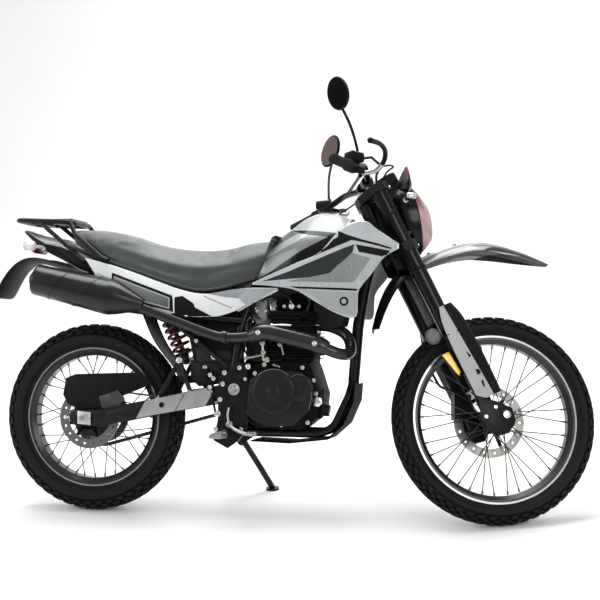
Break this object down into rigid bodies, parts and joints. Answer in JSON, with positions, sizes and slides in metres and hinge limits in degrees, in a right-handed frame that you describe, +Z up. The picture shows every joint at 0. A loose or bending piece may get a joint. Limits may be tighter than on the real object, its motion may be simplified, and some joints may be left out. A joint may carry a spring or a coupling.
{
  "type": "trail motorcycle",
  "caption": "Trail motorcycle parked on its side stand: two wire wheels, long fork, high exhaust, bench seat and rear rack.",
  "frame": {"origin": "on the ground, at the centre of the whole object's box seen from above", "axes": "+X towards the front of the motorcycle, +Y to its left, +Z up; the machine leans to its left on its stand and its fork is turned to the left"},
  "size_m": [2.0831, 0.8507, 1.4739],
  "materials": {
    "front_tyre": "matt",
    "rear_tyre": "matt",
    "front_rim": "satin black",
    "rear_rim": "satin black",
    "front_hub": "black coated",
    "rear_hub": "black coated",
    "front_brake_disc": "bright",
    "rear_brake_disc": "bright",
    "rear_sprocket": "bright",
    "front_axle": "bright",
    "rear_axle": "bright",
    "triple_clamps": "cast",
    "fork_outer_tubes": "satin black",
    "fork_inner_tubes": "polished",
    "fork_guards": "gloss",
    "handlebar": "satin black",
    "grips": "matt",
    "hand_controls": "grained",
    "hand_levers": "cast",
    "mirrors": "gloss",
    "instruments": "grained",
    "headlight_shell": "grained",
    "headlight_lens": "clear",
    "front_fender": "gloss",
    "front_turn_signals": "clear",
    "front_caliper": "cast",
    "brake_hose": "matt",
    "main_frame": "satin black",
    "cradle_tubes": "satin black",
    "skid_plate": "grained",
    "subframe": "satin black",
    "crankcase": "black coated",
    "cylinder": "black coated",
    "carburettor": "cast",
    "exhaust_pipe": "satin black",
    "muffler": "satin black",
    "fuel_tank": "gloss",
    "fuel_cap": "polished",
    "seat": "vinyl",
    "airbox": "grained",
    "tank_shrouds": "gloss",
    "side_panels": "gloss",
    "tail_fairing": "gloss",
    "tail_light": "gloss",
    "rear_fender": "grained",
    "rear_turn_signals": "clear",
    "rear_rack": "satin black",
    "swingarm": "satin black",
    "chain": "bright",
    "chain_guard": "grained",
    "rear_shock": "cast",
    "shock_spring": "gloss red",
    "rear_caliper": "black coated",
    "foot_pegs": "bright",
    "foot_controls": "bright",
    "side_stand": "satin black",
    "stand_bracket": "satin black"
  },
  "bodies": {
    "chassis": {"rear_axle": "rear_axle", "main_frame": "main_frame", "cradle_tubes": "cradle_tubes", "skid_plate": "skid_plate", "subframe": "subframe", "crankcase": "crankcase", "cylinder": "cylinder", "carburettor": "carburettor", "exhaust_pipe": "exhaust_pipe", "muffler": "muffler", "fuel_tank": "fuel_tank", "seat": "seat", "airbox": "airbox", "tank_shrouds": "tank_shrouds", "side_panels": "side_panels", "tail_fairing": "tail_fairing", "tail_light": "tail_light", "rear_fender": "rear_fender", "rear_turn_signals": "rear_turn_signals", "rear_rack": "rear_rack", "swingarm": "swingarm", "chain": "chain", "chain_guard": "chain_guard", "rear_shock": "rear_shock", "shock_spring": "shock_spring", "rear_caliper": "rear_caliper", "foot_pegs": "foot_pegs", "foot_controls": "foot_controls", "stand_bracket": "stand_bracket"},
    "steering": {"front_axle": "front_axle", "triple_clamps": "triple_clamps", "fork_outer_tubes": "fork_outer_tubes", "fork_inner_tubes": "fork_inner_tubes", "fork_guards": "fork_guards", "handlebar": "handlebar", "grips": "grips", "hand_controls": "hand_controls", "hand_levers": "hand_levers", "mirrors": "mirrors", "instruments": "instruments", "headlight_shell": "headlight_shell", "headlight_lens": "headlight_lens", "front_fender": "front_fender", "front_turn_signals": "front_turn_signals", "front_caliper": "front_caliper", "brake_hose": "brake_hose"},
    "front_wheel": {"front_tyre": "front_tyre", "front_rim": "front_rim", "front_hub": "front_hub", "front_brake_disc": "front_brake_disc"},
    "rear_wheel": {"rear_tyre": "rear_tyre", "rear_rim": "rear_rim", "rear_hub": "rear_hub", "rear_brake_disc": "rear_brake_disc", "rear_sprocket": "rear_sprocket"},
    "side_stand": {"side_stand": "side_stand"},
    "fuel_cap_lid": {"fuel_cap": "fuel_cap"}
  },
  "joints": [
    {"name": "steering", "type": "hinge", "parent": "chassis", "child": "steering", "pos_m": [0.32601, -0.0228, 0.9589], "axis": [-0.4499, 0.167, 0.8773], "range_deg": [-63, 17]},
    {"name": "front_wheel_spin", "type": "hinge", "parent": "steering", "child": "front_wheel", "pos_m": [0.71283, -0.11693, 0.32927], "axis": [-0.3498, 0.871, -0.3451], "continuous": true},
    {"name": "rear_wheel_spin", "type": "hinge", "parent": "chassis", "child": "rear_wheel", "pos_m": [-0.67466, -0.14534, 0.32117], "axis": [-0.0009, 0.9823, -0.1874], "continuous": true},
    {"name": "side_stand_fold", "type": "hinge", "parent": "chassis", "child": "side_stand", "pos_m": [-0.17513, -0.03385, 0.22018], "axis": [0.0018, 0.9274, 0.374], "range_deg": [0, 104]},
    {"name": "fuel_cap_hinge", "type": "hinge", "parent": "chassis", "child": "fuel_cap_lid", "pos_m": [0.19264, -0.01101, 1.02131], "axis": [-0.0009, 0.9823, -0.1874], "range_deg": [0, 95]}
  ]
}
